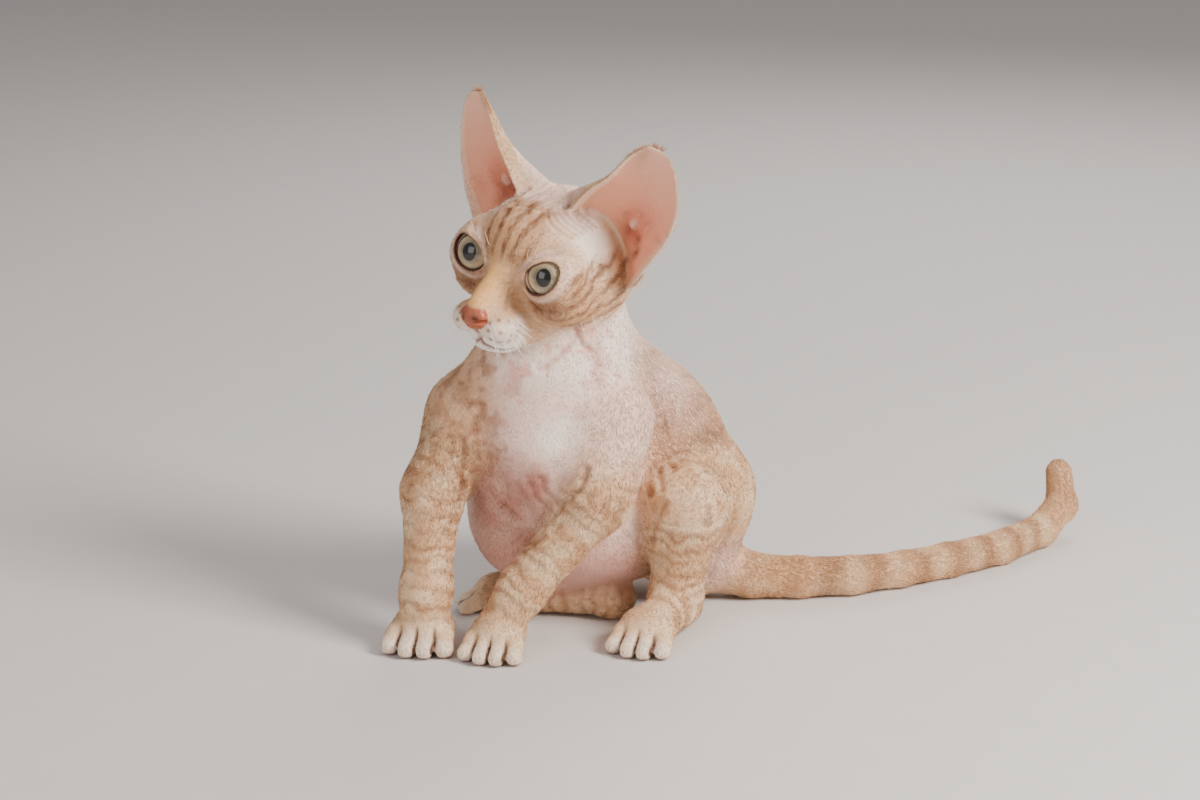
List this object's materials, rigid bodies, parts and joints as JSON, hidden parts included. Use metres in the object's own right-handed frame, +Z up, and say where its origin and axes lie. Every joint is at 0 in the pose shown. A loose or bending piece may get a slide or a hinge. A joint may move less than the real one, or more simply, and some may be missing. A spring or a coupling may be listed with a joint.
{
  "type": "devon rex cat",
  "caption": "Life-size still model of a seated short-coated cat with large ears, head turned aside and tail laid out along the floor.",
  "frame": {"origin": "on the floor, under the middle of the box round the whole cat", "axes": "+X along the laid-out tail, towards its tip; -Y the way the forelegs stand; +Z up"},
  "size_m": [0.3348, 0.1962, 0.2404],
  "materials": {
    "coat": "short, fine cream and tan tabby coat over pink skin",
    "ear_skin": "thin, bare, salmon-pink skin with a pale rim",
    "eye": "wet, clear cornea over a pale yellow-green iris"
  },
  "bodies": {
    "root": {"head": "coat", "neck": "coat", "chest": "coat", "belly": "coat", "rump": "coat", "front_left_upper_arm": "coat", "front_left_forearm": "coat", "front_left_paw": "coat", "front_right_upper_arm": "coat", "front_right_forearm": "coat", "front_right_paw": "coat", "hind_left_thigh": "coat", "hind_left_shin": "coat", "hind_left_foot": "coat", "hind_right_thigh": "coat", "hind_right_shin": "coat", "hind_right_foot": "coat", "tail_1": "coat", "tail_2": "coat", "tail_3": "coat", "tail_4": "coat", "ear_left": "ear_skin", "ear_right": "ear_skin", "eye_left": "eye", "eye_right": "eye"}
  },
  "joints": []
}
